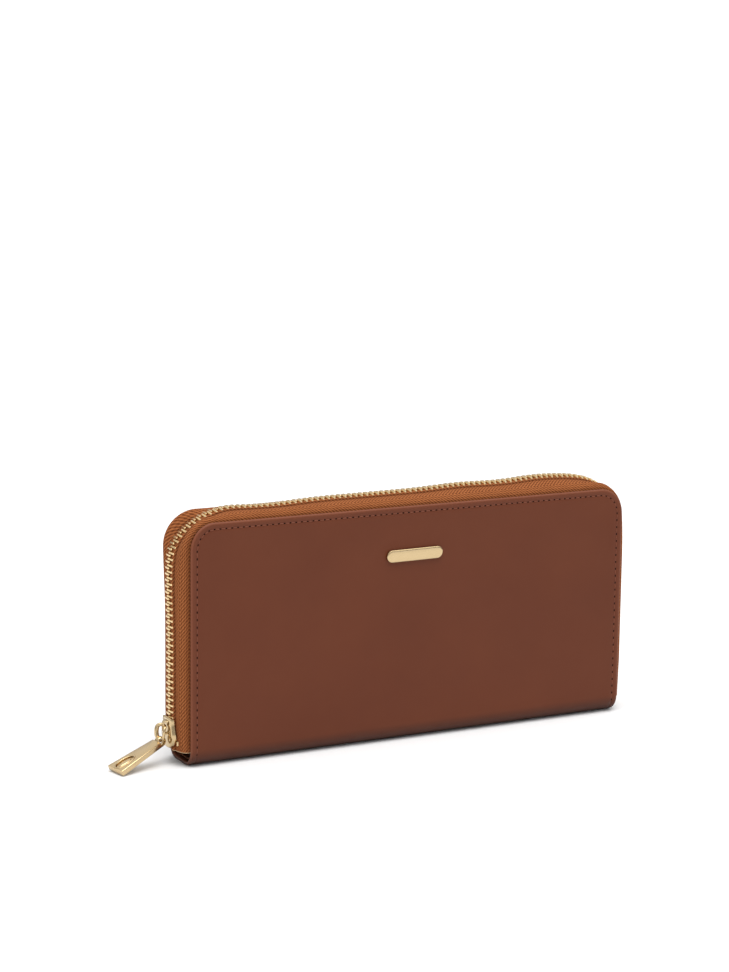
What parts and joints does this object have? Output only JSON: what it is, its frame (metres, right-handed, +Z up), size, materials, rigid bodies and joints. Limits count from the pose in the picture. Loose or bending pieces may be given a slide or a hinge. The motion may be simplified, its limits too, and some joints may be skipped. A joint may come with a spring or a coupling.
{
  "type": "zip around wallet",
  "caption": "Long leather zip-around wallet standing on its spine, with hinged covers, card tiers, zipped coin pocket, gold-tone zip, ring and pull tab.",
  "frame": {"origin": "centre of the flat strip of the spine that the wallet stands on", "axes": "+X along the width, towards the end away from the closed slider; +Y from the front cover to the back cover; +Z up, from the spine to the zip along the top"},
  "size_m": [0.2264, 0.0223, 0.0997],
  "materials": {
    "leather": "smooth semi-matte brown leather",
    "board": "bonded leather fibre board",
    "lining": "brown twill lining",
    "tape": "orange-brown woven zip tape",
    "gold": "polished light gold plating"
  },
  "bodies": {
    "spine": {"spine_leather": "leather", "spine_board": "board", "spine_lining": "lining", "coin_pocket_front_wall": "leather", "coin_pocket_back_wall": "leather", "coin_pocket_edge_gusset": "lining", "coin_zip_tape_front": "tape", "coin_zip_tape_back": "tape", "coin_zip_teeth_front": "gold", "coin_zip_teeth_back": "gold", "coin_zip_stop_left": "gold", "coin_zip_stop_right": "gold", "left_gusset_front": "lining", "left_gusset_back": "lining", "right_gusset_front": "lining", "right_gusset_back": "lining"},
    "front_cover": {"front_cover_leather": "leather", "front_board": "board", "front_lining": "lining", "front_card_tier_1": "leather", "front_card_tier_2": "leather", "front_card_tier_3": "leather", "front_card_tier_4": "leather", "front_zip_tape": "tape", "front_zip_teeth": "gold", "front_zip_top_stop": "gold", "badge_bar": "gold"},
    "back_cover": {"back_cover_leather": "leather", "back_board": "board", "back_lining": "lining", "back_card_tier_1": "leather", "back_card_tier_2": "leather", "back_card_tier_3": "leather", "back_card_tier_4": "leather", "back_zip_tape": "tape", "back_zip_teeth": "gold", "back_zip_top_stop": "gold", "zip_bottom_stop": "gold"},
    "zip_slider": {"zip_slider_body": "gold", "zip_slider_bridge": "gold"},
    "pull_ring": {"pull_ring": "gold"},
    "pull_tab": {"pull_tab": "gold"},
    "coin_slider": {"coin_slider_body": "gold"},
    "coin_pull": {"coin_pull": "gold"}
  },
  "joints": [
    {"name": "front_cover_open", "type": "hinge", "parent": "spine", "child": "front_cover", "pos_m": [0, -0.00899, 0.00151], "axis": [1, 0, 0], "range_deg": [0, 30], "deforming": ["left_gusset_front", "right_gusset_front", "front_zip_teeth", "back_zip_teeth"]},
    {"name": "back_cover_open", "type": "hinge", "parent": "spine", "child": "back_cover", "pos_m": [0, 0.00899, 0.00151], "axis": [-1, 0, 0], "range_deg": [0, 30], "deforming": ["left_gusset_back", "right_gusset_back", "front_zip_teeth", "back_zip_teeth"]},
    {"name": "zip_slide", "type": "slide", "parent": "back_cover", "child": "zip_slider", "axis": [0, 0, 1], "range_m": [0, 0.06], "deforming": ["front_zip_teeth", "back_zip_teeth"]},
    {"name": "pull_ring_swing", "type": "hinge", "parent": "zip_slider", "child": "pull_ring", "pos_m": [-0.10262, 0, 0.0157], "axis": [0, 1, 0], "range_deg": [0, 90]},
    {"name": "pull_tab_swing", "type": "hinge", "parent": "pull_ring", "child": "pull_tab", "pos_m": [-0.10419, 0, 0.00939], "axis": [-0.1874, 0.9823, 0], "range_deg": [0, 35]},
    {"name": "coin_zip_slide", "type": "slide", "parent": "spine", "child": "coin_slider", "axis": [1, 0, 0], "range_m": [0, 0.145], "deforming": ["coin_zip_teeth_front", "coin_zip_teeth_back"]},
    {"name": "coin_pull_swing", "type": "hinge", "parent": "coin_slider", "child": "coin_pull", "pos_m": [-0.0795, 0, 0.0831], "axis": [0, -1, 0], "range_deg": [0, 75]}
  ]
}
